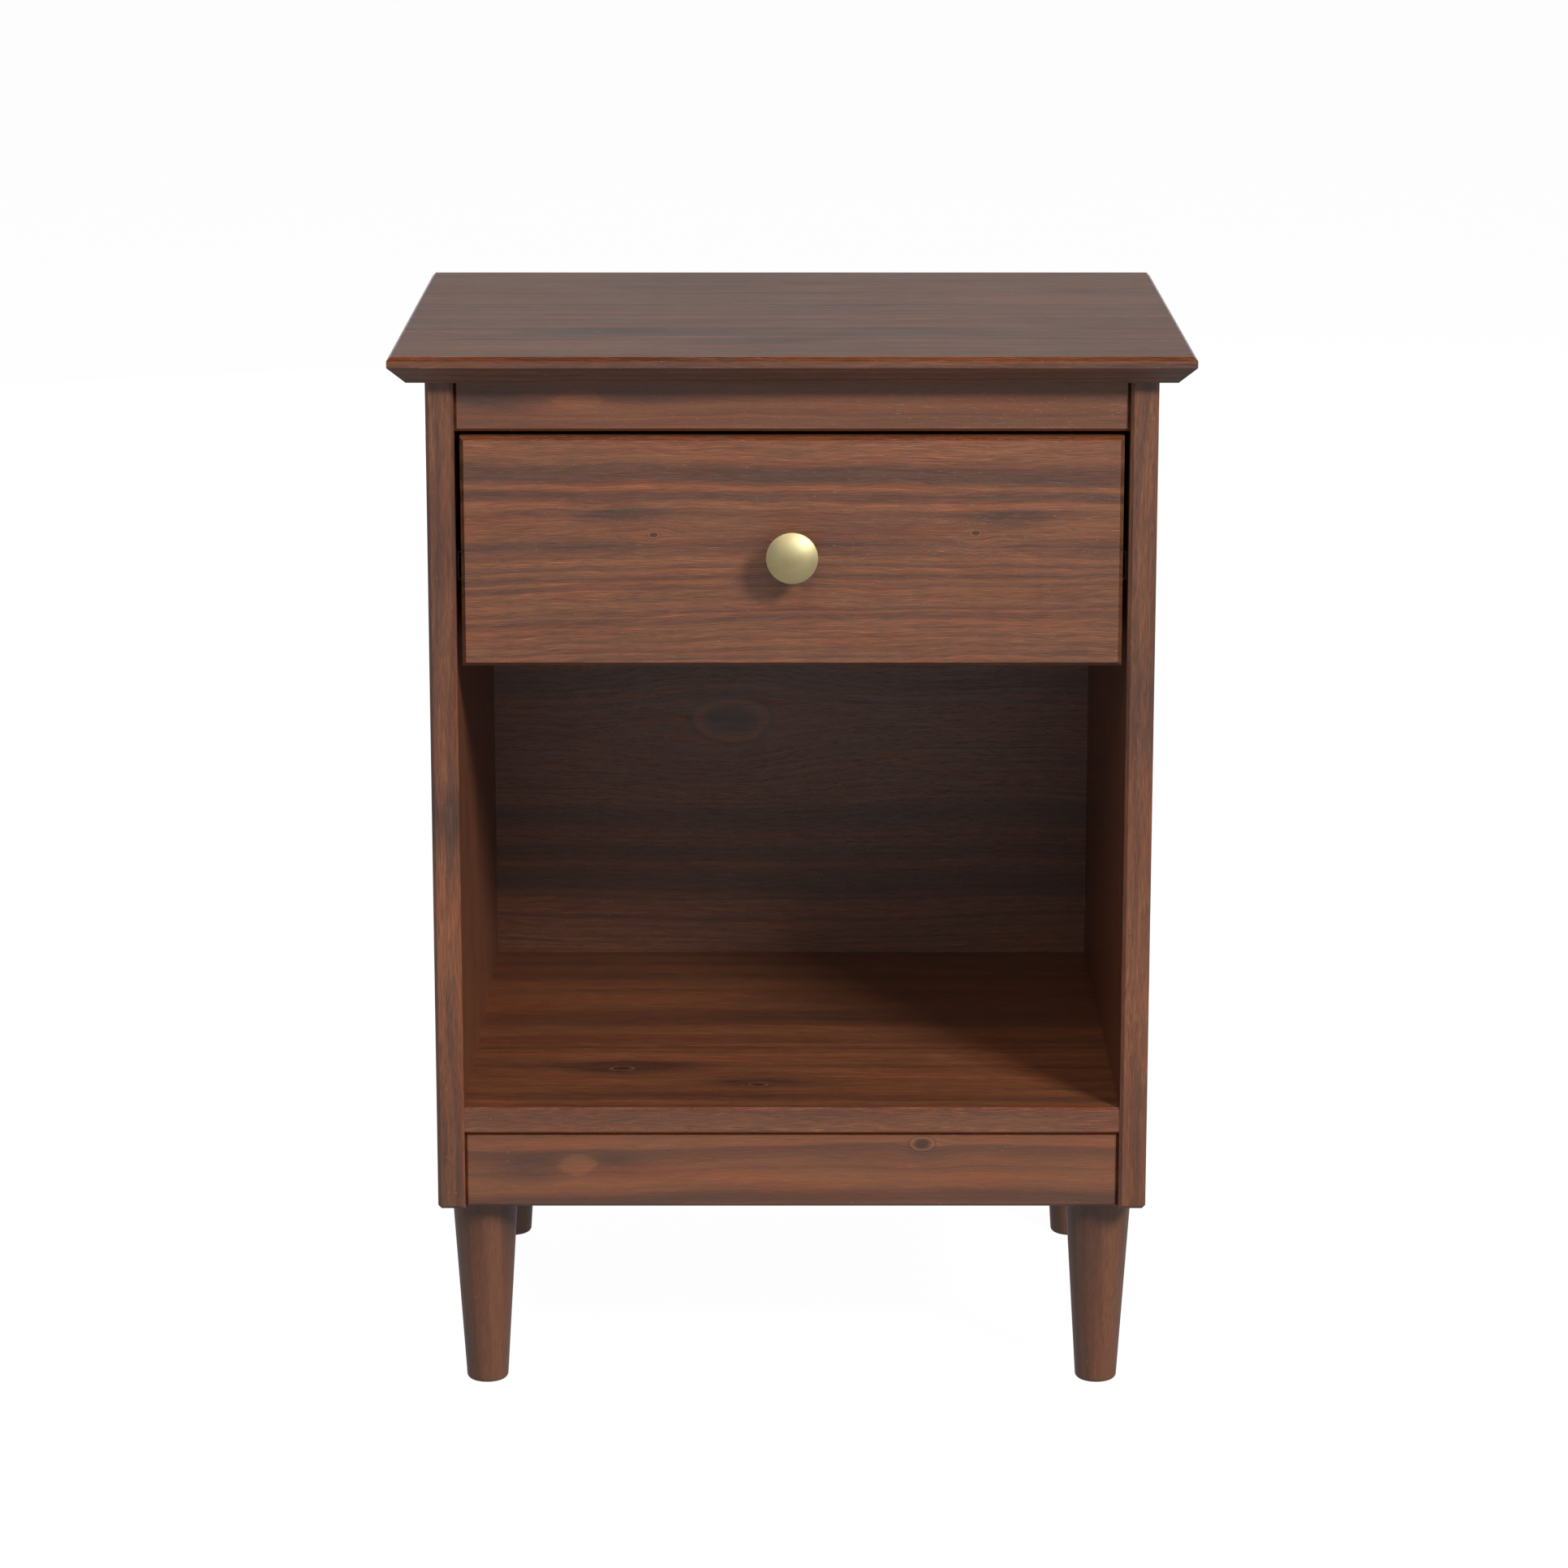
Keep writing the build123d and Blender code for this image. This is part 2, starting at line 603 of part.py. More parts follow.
def ball_cage():
    """The folded strip that keeps the balls apart."""
    web_x = INNER_X - SLIDE_SHEET - CAGE_GAP
    flange = (BOX_X + SLIDE_SHEET + CAGE_INSET, web_x)
    half = BALL_HEIGHT + CAGE_SHEET / 2
    depth = (CAGE_START, CAGE_START + CAGE_LENGTH)
    cage = block((web_x - CAGE_SHEET, web_x), depth, at_slide(-half, half))
    cage += block(flange, depth, at_slide(half - CAGE_SHEET, half))
    cage += block(flange, depth, at_slide(-half, CAGE_SHEET - half))
    pocket = Cylinder(BALL_RADIUS + BALL_FIT, 2 * CAGE_SHEET)
    return cage - [Pos(*point) * pocket for point in ball_places()]


def make_slides():
    """Both slides with their screws."""
    both_sides("slide_cabinet_member", cabinet_member())
    both_sides("slide_drawer_member", drawer_member())
    both_sides("slide_ball_cage", ball_cage())
    both_sides("slide_balls", Compound([Pos(*p) * Sphere(BALL_RADIUS) for p in ball_places()]))
    cabinet_x, drawer_x = INNER_X - SLIDE_SHEET, BOX_X + SLIDE_SHEET
    in_cabinet, in_drawer = [], []
    for side in (-1, 1):
        for depth in evenly(SLIDE_START, SLIDE_END, 3):
            outwards = place(side * cabinet_x, depth, SLIDE_MIDDLE, (side, 0, 0))
            inwards = place(side * drawer_x, depth, SLIDE_MIDDLE, (-side, 0, 0))
            in_cabinet.append(countersunk_screw(outwards, CABINET_SLIDE_SCREW_LENGTH))
            in_drawer.append(
                pan_head_screw(inwards, DRAWER_SLIDE_SCREW_LENGTH, THIN_SCREW_RADIUS)
            )
    group("slide_cabinet_screws", in_cabinet)
    group("slide_drawer_screws", in_drawer)


make_carcass()
make_legs()
make_drawer()
make_slides()
make_carcass_fasteners()

os.makedirs("parts", exist_ok=True)
for name, piece in nodes.items():
    export_step(drill(piece), f"parts/{name}.step")
for name, piece in fasteners.items():
    export_step(piece, f"parts/{name}.step")
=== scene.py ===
import json
import math
from collections import namedtuple

import bpy
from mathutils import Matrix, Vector


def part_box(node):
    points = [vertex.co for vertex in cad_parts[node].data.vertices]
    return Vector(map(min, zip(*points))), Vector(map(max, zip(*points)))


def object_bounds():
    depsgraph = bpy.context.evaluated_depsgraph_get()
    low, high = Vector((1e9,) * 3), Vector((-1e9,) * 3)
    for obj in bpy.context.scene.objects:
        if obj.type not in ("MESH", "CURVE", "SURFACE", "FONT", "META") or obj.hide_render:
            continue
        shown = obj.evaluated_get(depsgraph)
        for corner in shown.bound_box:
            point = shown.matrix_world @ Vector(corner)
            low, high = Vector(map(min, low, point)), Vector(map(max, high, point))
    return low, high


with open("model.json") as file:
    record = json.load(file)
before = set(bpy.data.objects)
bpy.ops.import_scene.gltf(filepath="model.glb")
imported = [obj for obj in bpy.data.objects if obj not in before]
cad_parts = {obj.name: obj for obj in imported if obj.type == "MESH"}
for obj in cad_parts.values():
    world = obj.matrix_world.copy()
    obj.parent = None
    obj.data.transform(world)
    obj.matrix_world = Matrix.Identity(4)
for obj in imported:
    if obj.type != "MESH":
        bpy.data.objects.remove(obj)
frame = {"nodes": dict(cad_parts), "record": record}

# The looks of a dark walnut side table: stained wood with a satin lacquer, a satin brass knob,
# blackened steel drawer slides and plain zinc fasteners, in a white studio.

NODES = frame["nodes"]
CAD_LOW, CAD_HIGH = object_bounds()
MIDDLE = (CAD_LOW + CAD_HIGH) / 2
MM = 0.001


# ---- Short ways to write shader nodes ----
SWING_GAIN = 4.0  # noise mostly stays within a quarter of its middle value


class Graph:
    """Writes the nodes of a material or a world. A value is a number, a tuple or an output."""

    def __init__(self, owner):
        self.owner = owner
        owner.use_nodes = True
        self.tree = owner.node_tree
        self.tree.nodes.clear()

    def node(self, kind, **settings):
        made = self.tree.nodes.new(kind)
        for key, value in settings.items():
            setattr(made, key, value)
        return made

    def feed(self, socket, value):
        if isinstance(value, bpy.types.NodeSocket):
            self.tree.links.new(value, socket)
        else:
            socket.default_value = value

    def math(self, operation, *values):
        made = self.node("ShaderNodeMath", operation=operation)
        for socket, value in zip(made.inputs, values):
            self.feed(socket, value)
        return made.outputs[0]

    def add(self, *values):
        total = values[0]
        for value in values[1:]:
            total = self.math("ADD", total, value)
        return total

    def times(self, *values):
        total = values[0]
        for value in values[1:]:
            total = self.math("MULTIPLY", total, value)
        return total

    def minus(self, one, other):
        return self.math("SUBTRACT", one, other)

    def vector(self, x, y, z):
        made = self.node("ShaderNodeCombineXYZ")
        for socket, value in zip(made.inputs, (x, y, z)):
            self.feed(socket, value)
        return made.outputs[0]

    def split(self, vector):
        made = self.node("ShaderNodeSeparateXYZ")
        self.feed(made.inputs[0], vector)
        return made.outputs

    def coordinates(self, kind):
        """The three coordinates of one kind: Object (in metres), Normal or Generated."""
        return self.split(self.node("ShaderNodeTexCoord").outputs[kind])

    def step(self, value, low, high):
        """0 below low, 1 above high, and smooth between; high may be below low."""
        made = self.node("ShaderNodeMapRange", interpolation_type="SMOOTHSTEP")
        flip = high < low
        self.feed(made.inputs["Value"], value)
        self.feed(made.inputs["From Min"], high if flip else low)
        self.feed(made.inputs["From Max"], low if flip else high)
        self.feed(made.inputs["To Min"], 1.0 if flip else 0.0)
        self.feed(made.inputs["To Max"], 0.0 if flip else 1.0)
        return made.outputs["Result"]

    def noise(self, vector, detail=2.0, roughness=0.5, dimensions="3D"):
        """Noise around 0.5."""
        made = self.node("ShaderNodeTexNoise", noise_dimensions=dimensions)
        self.feed(made.inputs["W" if dimensions == "1D" else "Vector"], vector)
        self.feed(made.inputs["Scale"], 1.0)
        self.feed(made.inputs["Detail"], detail)
        self.feed(made.inputs["Roughness"], roughness)
        return made.outputs["Fac"]

    def swing(self, noise, reach):
        """Noise moved to lie around 0, mostly within plus or minus reach."""
        return self.times(self.minus(noise, 0.5), SWING_GAIN * reach)

    def mix(self, factor, one, other):
        """One colour where the factor is 0, and the other where it is 1."""
        made = self.node("ShaderNodeMix", data_type="RGBA")
        self.feed(made.inputs["Factor"], factor)
        for name, value in (("A", one), ("B", other)):
            sockets = [s for s in made.inputs if s.name == name and s.type == "RGBA"]
            self.feed(sockets[0], value)
        return [s for s in made.outputs if s.type == "RGBA"][0]

    def tint(self, colour, amount):
        """A colour made lighter or darker by a factor."""
        made = self.node("ShaderNodeVectorMath", operation="SCALE")
        self.feed(made.inputs[0], colour)
        self.feed(made.inputs["Scale"], amount)
        return made.outputs[0]

    def scaled(self, colour, factors):
        """A colour with its red, green and blue each multiplied."""
        made = self.node("ShaderNodeVectorMath", operation="MULTIPLY")
        self.feed(made.inputs[0], colour)
        self.feed(made.inputs[1], factors)
        return made.outputs[0]

    def finish(self, base, roughness, relief, relief_depth, **constants):
        """Joins everything to one Principled shader, with the relief as its bump."""
        shader = self.node("ShaderNodeBsdfPrincipled")
        self.feed(shader.inputs["Base Color"], base)
        self.feed(shader.inputs["Roughness"], roughness)
        for name, value in constants.items():
            shader.inputs[name.replace("_", " ")].default_value = value
        bump = self.node("ShaderNodeBump")
        bump.inputs["Strength"].default_value = 1.0
        bump.inputs["Distance"].default_value = relief_depth
        self.feed(bump.inputs["Height"], relief)
        self.feed(shader.inputs["Normal"], bump.outputs[0])
        output = self.node("ShaderNodeOutputMaterial")
        self.feed(output.inputs["Surface"], shader.outputs[0])
        return self.owner


def new_material(name):
    """The graph of a new material."""
    return Graph(bpy.data.materials.new(name))


def colour(red, green, blue):
    """A linear colour from 0 to 255 sRGB numbers."""
    levels = [v / 255 for v in (red, green, blue)]
    linear = [v / 12.92 if v <= 0.04045 else ((v + 0.055) / 1.055) ** 2.4 for v in levels]
    return (*linear, 1.0)


# ---- Wood colours ----
WALNUT = {
    "light": (0.245, 0.086, 0.034, 1),
    "middle": (0.162, 0.056, 0.0245, 1),
    "dark": (0.092, 0.035, 0.0185, 1),
    "pore": (0.035, 0.015, 0.009, 1),
    "fleck": (0.42, 0.22, 0.12, 1),
    "knot": (0.050, 0.019, 0.011, 1),
    "rubbed": (0.30, 0.125, 0.055, 1),
}
PLAIN_WOOD = {
    "light": colour(205, 172, 128),
    "middle": colour(190, 152, 108),
    "dark": colour(163, 122, 82),
    "pore": colour(120, 86, 56),
    "fleck": colour(226, 200, 160),
    "knot": colour(110, 66, 40),
    "rubbed": colour(214, 182, 140),
}
REDDER_PATCH = (1.08, 0.94, 0.88)
GREYER_PATCH = (0.97, 1.0, 1.0)
# Painted shading: a band along every edge is tinted redder, the look of wood that reflects no sheen.
EDGE_SHADING_TINT = (1.08, 0.90, 0.78)
# Painted shading: upward chamfers are tinted redder, the look of wood that reflects no sheen.
CHAMFER_SHADING_TINT = (1.0, 0.72, 0.42)

# ---- Wood noise ----
# A layer's length along the grain and width across it in millimetres, an offset that keeps it
# apart from the other layers, and the noise's detail and roughness.
Layer = namedtuple("Layer", "length width offset detail roughness", defaults=(2.0, 0.5))
MOTTLING = Layer(120, 13, 7.7)
PATCHES = Layer(90, 11, 9.1)
FIBRES = Layer(60, 2.2, 11.0, 3.0, 0.75)
FINE_FIBRES = Layer(14, 0.55, 13.0, 2.0, 0.8)
STREAKS = Layer(22, 0.5, 15.0, 1.0, 0.6)
PORES = Layer(9, 0.5, 17.0, 1.0)
FLECKS = Layer(5.5, 3.0, 19.0)
RUBBING = Layer(14, 3.0, 23.0, 3.0, 0.7)
RAGGEDNESS = Layer(16, 3.0, 27.0, 2.0, 0.6)
EYE_OUTLINE = Layer(12, 4.0, 29.0, 1.0)
EYE_UNEVENNESS = 0.12
# The grain's waves: a layer, and how far it pushes the grain aside in millimetres.
WAVES = (
    (Layer(300, 90, 0.0, 0.0), 3.4),
    (Layer(66, 24, 3.1, 1.0), 1.3),
    (Layer(21, 5.0, 5.3, 1.0), 0.12),
)
SEED_SPREAD = 2.7  # how much more a board's seed moves the noise through the board than along it

# ---- Knots, growth rings and joints ----
KNOT_STRETCH = 1.7  # a knot's length along the grain over its width
KNOT_REACH = 2.6  # how far a knot pushes the grain aside, in half widths
KNOT_PUSH = 0.75
KNOT_LUMPS = 0.9  # lumps in a knot's outline per half width
KNOT_UNEVENNESS = 0.09
KNOT_CORE = (0.78, 0.35)
KNOT_OUTLINE = 1.02  # the outline's distance from the middle, in half widths
KNOT_OUTLINE_FADE = (0.12, 0.02)
KNOT_OUTLINE_DEPTH = 0.55
KNOT_RING = 0.82  # the same for the pale ring
KNOT_RING_FADE = (0.2, 0.05)
RING_DRIFT_LENGTH = 19  # millimetres over which the rings' spacing changes
RING_DRIFT = 2.2  # and how far they drift, in millimetres
LATE_WOOD = (0.3, 0.8)  # where in a ring its dark wood starts and is darkest
RING_END = (1.0, 0.86)  # where its dark wood ends, and where it starts to fade
RING_DEPTH = 0.55
FAINTEST_RING = 0.25
GLUE_LINE = 0.12  # half the width of the line between two glued boards
JOINT_SLIDE = 0.37  # how far a jump in the log moves the noise, in its own widths

# ---- Strengths of the wood's figure ----
# A pair of numbers gives where a smooth step is 0 and where it is 1.
BAND_EDGE = (1.15, 0.5)  # in a band's half widths
EYE_EDGE = (1.15, 0.6)
RAGGED_LEAST = 0.4
RAGGED_SPAN = 1.2
MOTTLING_DEPTH = 0.85
LIGHT_TO_MIDDLE = (-0.25, 0.35)
MIDDLE_TO_DARK = (0.15, 0.95)
REDDER_WHERE = (0.42, 0.68)
GREYER_WHERE = (0.5, 0.3)
STREAK_WHERE = (0.52, 0.68)
FIBRE_SHADE = 0.07
FIBRE_LIFT = 0.62
FINE_LIFT = 1.5
STREAK_LIFT = 0.5
PORE_WHERE = (0.58, 0.72)
PORE_DEPTH = 0.45
FLECK_CHOICE = (0.80, 0.95)
FLECK_SIZE = (0.13, 0.05)
FLECK_STRENGTH = 0.75
PALE_RING_STRENGTH = 0.6
KNOT_STRENGTH = 0.85

# ---- Edges, wear and gloss ----
OFF_FACE = (0.95, 0.8)  # of the normal's part that looks straight out of the face
LOOKS_UP = (0.4, 0.6)  # of the normal's upward part
NOT_LEVEL = (0.95, 0.8)
# Painted shading: the band along the edges that is tinted redder.
EDGE_SHADING_BAND = (1.6, 0.4)  # millimetres from the edge
EDGE_SHADING_STRENGTH = 0.8
WEAR_BAND = (1.0, 0.1)
WEAR_WHERE = (0.55, 0.75)
WEAR_STRENGTH = 0.35
WOOD_RELIEF = 0.05 * MM
FIBRE_RELIEF = 0.4  # a share of the wood's relief, as are the next two
FINE_RELIEF = 0.4
PORE_RELIEF = -0.8
WOOD_ROUGHNESS = 0.40
FIBRE_ROUGHNESS = 0.3
WORN_ROUGHNESS = 0.12
CHAMFER_ROUGHNESS = -0.15
LACQUER_GLOSS = 1.0


class Board:
    """The wood of one board: its own coordinates in millimetres from the board's middle, and
    noise that is long along the grain."""

    def __init__(self, g, node, axes, seed, joints):
        self.g = g
        self.node = node
        self.seed = seed
        low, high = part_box(node)
        middle = (low + high) / 2
        place = g.coordinates("Object")
        self.along, self.across, self.through = [
            g.times(g.minus(place[i], middle[i]), 1 / MM) for i in map("XYZ".index, axes)
        ]
        # Boards that were glued edge to edge come from different places in the log.
        self.shift = 0.0
        for joint, jump in joints:
            beyond = g.step(self.across, joint - GLUE_LINE, joint + GLUE_LINE)
            self.shift = g.add(self.shift, g.times(beyond, jump))
        self.slide = g.times(self.shift, JOINT_SLIDE)

    def stretched(self, side, layer):
        """Noise coordinates that are long along the grain; side is the way across it."""
        g = self.g
        return g.vector(
            g.add(g.times(self.along, 1 / layer.length), self.seed + layer.offset),
            g.add(g.times(side, 1 / layer.width), self.slide),
            g.add(g.times(self.through, 1 / layer.width), SEED_SPREAD * self.seed + layer.offset),
        )

    def noise(self, side, layer):
        return self.g.noise(self.stretched(side, layer), layer.detail, layer.roughness)

    def edge_distance(self):
        """How far a point on the surface is from the nearest edge of the board's box."""
        g = self.g
        low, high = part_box(self.node)
        place = g.coordinates("Object")
        x, y, z = [
            g.times(g.math("MINIMUM", g.minus(place[i], low[i]), g.minus(high[i], place[i])), 1 / MM)
            for i in range(3)
        ]
        low_pair, high_pair = g.math("MINIMUM", x, y), g.math("MAXIMUM", x, y)
        return g.math("MAXIMUM", low_pair, g.math("MINIMUM", high_pair, z))


# ---- The grain's figure ----
def knot_distance(board, knot):
    """The distance across the grain and in all from a knot's middle, in its half widths."""
    g = board.g
    x, y, half_width = knot
    dx = g.times(g.minus(board.along, x), 1 / (KNOT_STRETCH * half_width))
    dy = g.times(g.minus(board.across, y), 1 / half_width)
    lumps = g.noise(g.vector(g.times(dx, KNOT_LUMPS), g.times(dy, KNOT_LUMPS), x), 1.0)
    straight = g.math("SQRT", g.add(g.times(dx, dx), g.times(dy, dy)))
    return dy, g.add(straight, g.swing(lumps, KNOT_UNEVENNESS))


def grain_flow(board, knots):
    """The way across the grain, bent so that the grain waves gently and flows round the knots."""
    g = board.g
    flow = board.across
    for knot in knots:
        dy, distance = knot_distance(board, knot)
        near = g.math("EXPONENT", g.times(distance, distance, -1 / KNOT_REACH**2))
        flow = g.minus(flow, g.times(dy, near, KNOT_PUSH * knot[2]))
    for layer, reach in WAVES:
        flow = g.add(flow, g.swing(board.noise(board.across, layer), reach))
    return flow


def ring_darkness(board, flow, pith, spacing):
    """Growth rings: each darkens slowly and ends at once; some are stronger than others."""
    g = board.g
    a = g.add(g.minus(flow, pith[0]), board.shift)
    t = g.minus(board.through, pith[1])
    radius = g.math("SQRT", g.add(g.times(a, a), g.times(t, t)))
    drift = g.noise(g.times(radius, 1 / RING_DRIFT_LENGTH), 1.0, dimensions="1D")
    phase = g.times(g.add(radius, g.swing(drift, RING_DRIFT)), 1 / spacing)
    part = g.math("FRACT", phase)
    late = g.times(g.step(part, *LATE_WOOD), g.step(part, *RING_END))
    each = g.node("ShaderNodeTexWhiteNoise", noise_dimensions="1D")
    g.feed(each.inputs["W"], g.math("FLOOR", phase))
    strength = g.add(FAINTEST_RING, g.times(each.outputs["Value"], 1 - FAINTEST_RING))
    return g.times(late, strength, RING_DEPTH)


def with_bands(board, flow, darkness, bands):
    """Adds bands that run the whole length of the board."""
    g = board.g
    for place, half_width, depth in bands:
        away = g.math("ABSOLUTE", g.minus(flow, place))
        inside = g.step(away, *[share * half_width for share in BAND_EDGE])
        darkness = g.add(darkness, g.times(inside, depth))
    return darkness


def with_clouds(board, flow, darkness, clouds):
    """Adds soft patches with ragged ends."""
    g = board.g
    for x, y, half_length, half_width, depth in clouds:
        dx = g.times(g.minus(board.along, x), 1 / half_length)
        dy = g.times(g.minus(flow, y), 1 / half_width)
        spread = g.add(g.times(dx, dx), g.times(dy, dy))
        ragged = g.add(RAGGED_LEAST, g.times(board.noise(flow, RAGGEDNESS), RAGGED_SPAN))
        here = g.times(g.math("EXPONENT", g.times(spread, -1.0)), ragged)
        darkness = g.add(darkness, g.times(here, depth))
    return darkness


def with_eyes(board, flow, darkness, eyes):
    """Adds eyes with pointed ends, where a ring is cut at a shallow angle."""
    g = board.g
    for x, y, half_length, half_width, depth in eyes:
        dx = g.times(g.minus(board.along, x), 1 / half_length)
        dy = g.times(g.minus(flow, y), 1 / half_width)
        outline = g.add(g.math("ABSOLUTE", dy), g.times(dx, dx))
        outline = g.add(outline, g.swing(board.noise(flow, EYE_OUTLINE), EYE_UNEVENNESS))
        darkness = g.add(darkness, g.times(g.step(outline, *EYE_EDGE), depth))
    return darkness


# ---- The wood's colour ----
def stain(board, flow, darkness, palette):
    """The stain's colour, with redder and greyer patches. Darkness is about 0 in light wood."""
    g = board.g
    base = g.mix(g.step(darkness, *LIGHT_TO_MIDDLE), palette["light"], palette["middle"])
    base = g.mix(g.step(darkness, *MIDDLE_TO_DARK), base, palette["dark"])
    patch = board.noise(flow, PATCHES)
    base = g.mix(g.step(patch, *REDDER_WHERE), base, g.scaled(base, REDDER_PATCH))
    return g.mix(g.step(patch, *GREYER_WHERE), base, g.scaled(base, GREYER_PATCH))


def with_flecks(board, flow, base, palette):
    """Adds a few pale flecks."""
    g = board.g
    grains = g.node("ShaderNodeTexVoronoi")
    g.feed(grains.inputs["Vector"], board.stretched(flow, FLECKS))
    g.feed(grains.inputs["Scale"], 1.0)
    chosen = g.step(g.split(grains.outputs["Color"])[0], *FLECK_CHOICE)
    fleck = g.times(g.step(grains.outputs["Distance"], *FLECK_SIZE), chosen)
    return g.mix(g.times(fleck, FLECK_STRENGTH), base, palette["fleck"])


def with_knots(board, base, knots, palette):
    """Adds the knots' dark cores and outlines, and the pale rings between them."""
    g = board.g
    core, ring = 0.0, 0.0
    for knot in knots:
        distance = knot_distance(board, knot)[1]
        from_outline = g.math("ABSOLUTE", g.minus(distance, KNOT_OUTLINE))
        outline = g.times(g.step(from_outline, *KNOT_OUTLINE_FADE), KNOT_OUTLINE_DEPTH)
        centre = g.step(distance, *KNOT_CORE)
        core = g.math("MAXIMUM", core, g.math("MAXIMUM", centre, outline))
        from_ring = g.math("ABSOLUTE", g.minus(distance, KNOT_RING))
        ring = g.math("MAXIMUM", ring, g.step(from_ring, *KNOT_RING_FADE))
    base = g.mix(g.times(ring, PALE_RING_STRENGTH), base, palette["rubbed"])
    return g.mix(g.times(core, KNOT_STRENGTH), base, palette["knot"])


def wood(name, node, axes, seed, pith=(60, 90), spacing=5.0, bands=(), clouds=(), eyes=(),
         knots=(), joints=(), palette=WALNUT, tone=1.1, painted_side_shade=1.0, contrast=1.0, fibres=1.0,
         wear=1.0):
    """Stained, lacquered wood. All places and sizes are in millimetres from the board's middle.

    axes: the board's axes along the grain, across its face and through it
    pith: where the middle of the log passes, across and through
    bands: (across, half width, depth), where a depth below 0 is lighter than the wood
    clouds, eyes: (along, across, half length, half width, depth)
    knots: (along, across, half width)
    joints: (across, jump in the log)
    tone: how light the whole board is; painted_side_shade: painted shade, how light its edges are
    compared with its face
    contrast, fibres, wear: how strong the figure, the fibres and the rubbed edges are
    """
    g = new_material(name)
    board = Board(g, node, axes, seed, joints)
    flow = grain_flow(board, knots)

    darkness = ring_darkness(board, flow, pith, spacing)
    darkness = with_bands(board, flow, darkness, bands)
    darkness = with_clouds(board, flow, darkness, clouds)
    darkness = with_eyes(board, flow, darkness, eyes)
    mottling = g.times(g.minus(board.noise(flow, MOTTLING), 0.5), MOTTLING_DEPTH)
    base = stain(board, flow, g.times(g.add(darkness, mottling), contrast), palette)

    fibre = board.noise(flow, FIBRES)
    fine = board.noise(flow, FINE_FIBRES)
    streak = g.step(board.noise(flow, STREAKS), *STREAK_WHERE)
    lift = g.add(
        tone * (1 - FIBRE_SHADE * fibres),
        g.times(g.minus(fibre, 0.5), FIBRE_LIFT * tone * fibres),
        g.times(g.minus(fine, 0.5), FINE_LIFT * tone * fibres),
        g.times(streak, STREAK_LIFT * tone * fibres),
    )
    base = g.tint(base, lift)

    # Painted shade: the side faces are darkened by painted_side_shade against the face.
    normal = g.coordinates("Normal")
    shaded_side = g.step(g.math("ABSOLUTE", normal["XYZ".index(axes[2])]), *OFF_FACE)
    base = g.tint(base, g.add(1.0, g.times(shaded_side, painted_side_shade - 1.0)))
    # Painted shading: chamfers that face upwards are tinted redder, the look of wood that reflects
    # no sheen there; they are also smoother than the faces.
    slanted = g.times(g.step(normal[2], *LOOKS_UP), g.step(normal[2], *NOT_LEVEL))
    base = g.mix(slanted, base, g.scaled(base, CHAMFER_SHADING_TINT))

    pores = g.step(board.noise(flow, PORES), *PORE_WHERE)
    base = g.mix(g.times(pores, PORE_DEPTH * fibres), base, palette["pore"])
    base = with_flecks(board, flow, base, palette)
    if knots:
        base = with_knots(board, base, knots, palette)

    # Painted shading: the edges are tinted redder, the look of wood that reflects no sheen. Handling
    # also rubs the stain thin along them.
    edge_distance = board.edge_distance()
    edge = g.step(edge_distance, *EDGE_SHADING_BAND)
    base = g.mix(g.times(edge, EDGE_SHADING_STRENGTH), base, g.scaled(base, EDGE_SHADING_TINT))
    rub = g.step(board.noise(board.across, RUBBING), *WEAR_WHERE)
    worn = g.times(g.step(edge_distance, *WEAR_BAND), rub)
    base = g.mix(g.times(worn, WEAR_STRENGTH * wear), base, palette["rubbed"])

    relief = g.add(
        g.times(fibre, FIBRE_RELIEF), g.times(fine, FINE_RELIEF), g.times(pores, PORE_RELIEF)
    )
    roughness = g.add(
        WOOD_ROUGHNESS,
        g.times(g.minus(fibre, 0.5), FIBRE_ROUGHNESS),
        g.times(worn, WORN_ROUGHNESS),
        g.times(slanted, CHAMFER_ROUGHNESS),
    )
    return g.finish(base, roughness, relief, WOOD_RELIEF, Specular_IOR_Level=LACQUER_GLOSS)


# ---- Metals ----
BRASS = (colour(212, 198, 152), colour(202, 185, 137))
BRASS_BLOTCHES = 90  # per metre
BRASS_CHANGE = (0.35, 0.7)  # where in the noise one colour turns into the other
BRASS_ROUGHNESS = 0.47
BLOTCH_ROUGHNESS = 0.05
LAY_MARKS = 6 / MM  # polishing marks round the knob's axis, per metre of radius
LAY_START = (0.5 * MM, 2.5 * MM)
LAY_ROUGHNESS = 0.06
LAY_RELIEF = 0.003 * MM
BLACKENED = (colour(62, 62, 64), colour(50, 50, 52))
ZINC = (colour(200, 200, 198), colour(178, 178, 176))
POLISHED = (colour(220, 220, 222), colour(208, 208, 212))
METAL_BLOTCHES = (160, 60, 160)  # per metre along x, y and z
METAL_CHANGE = (0.3, 0.7)
ROLLING_MARKS = (900, 40, 900)  # the same
ROLLING_ROUGHNESS = 0.2
ROLLING_RELIEF = 0.01 * MM


def brass():
    """Satin brass, turned, with a faint lay of the polishing round the axis."""
    g = new_material("satin_brass")
    low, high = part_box("knob")
    middle = (low + high) / 2
    place = g.coordinates("Object")
    x, z = g.minus(place[0], middle.x), g.minus(place[2], middle.z)
    radius = g.math("SQRT", g.add(g.times(x, x), g.times(z, z)))
    ridges = g.noise(g.times(radius, LAY_MARKS), 2.0, 0.6, "1D")
    lay = g.times(ridges, g.step(radius, *LAY_START))
    patch = g.noise(g.vector(*[g.times(part, BRASS_BLOTCHES) for part in (x, z, place[1])]))
    base = g.mix(g.step(patch, *BRASS_CHANGE), *BRASS)
    roughness = g.add(
        BRASS_ROUGHNESS, g.times(ridges, LAY_ROUGHNESS), g.times(patch, BLOTCH_ROUGHNESS)
    )
    return g.finish(base, roughness, lay, LAY_RELIEF, Metallic=1.0)


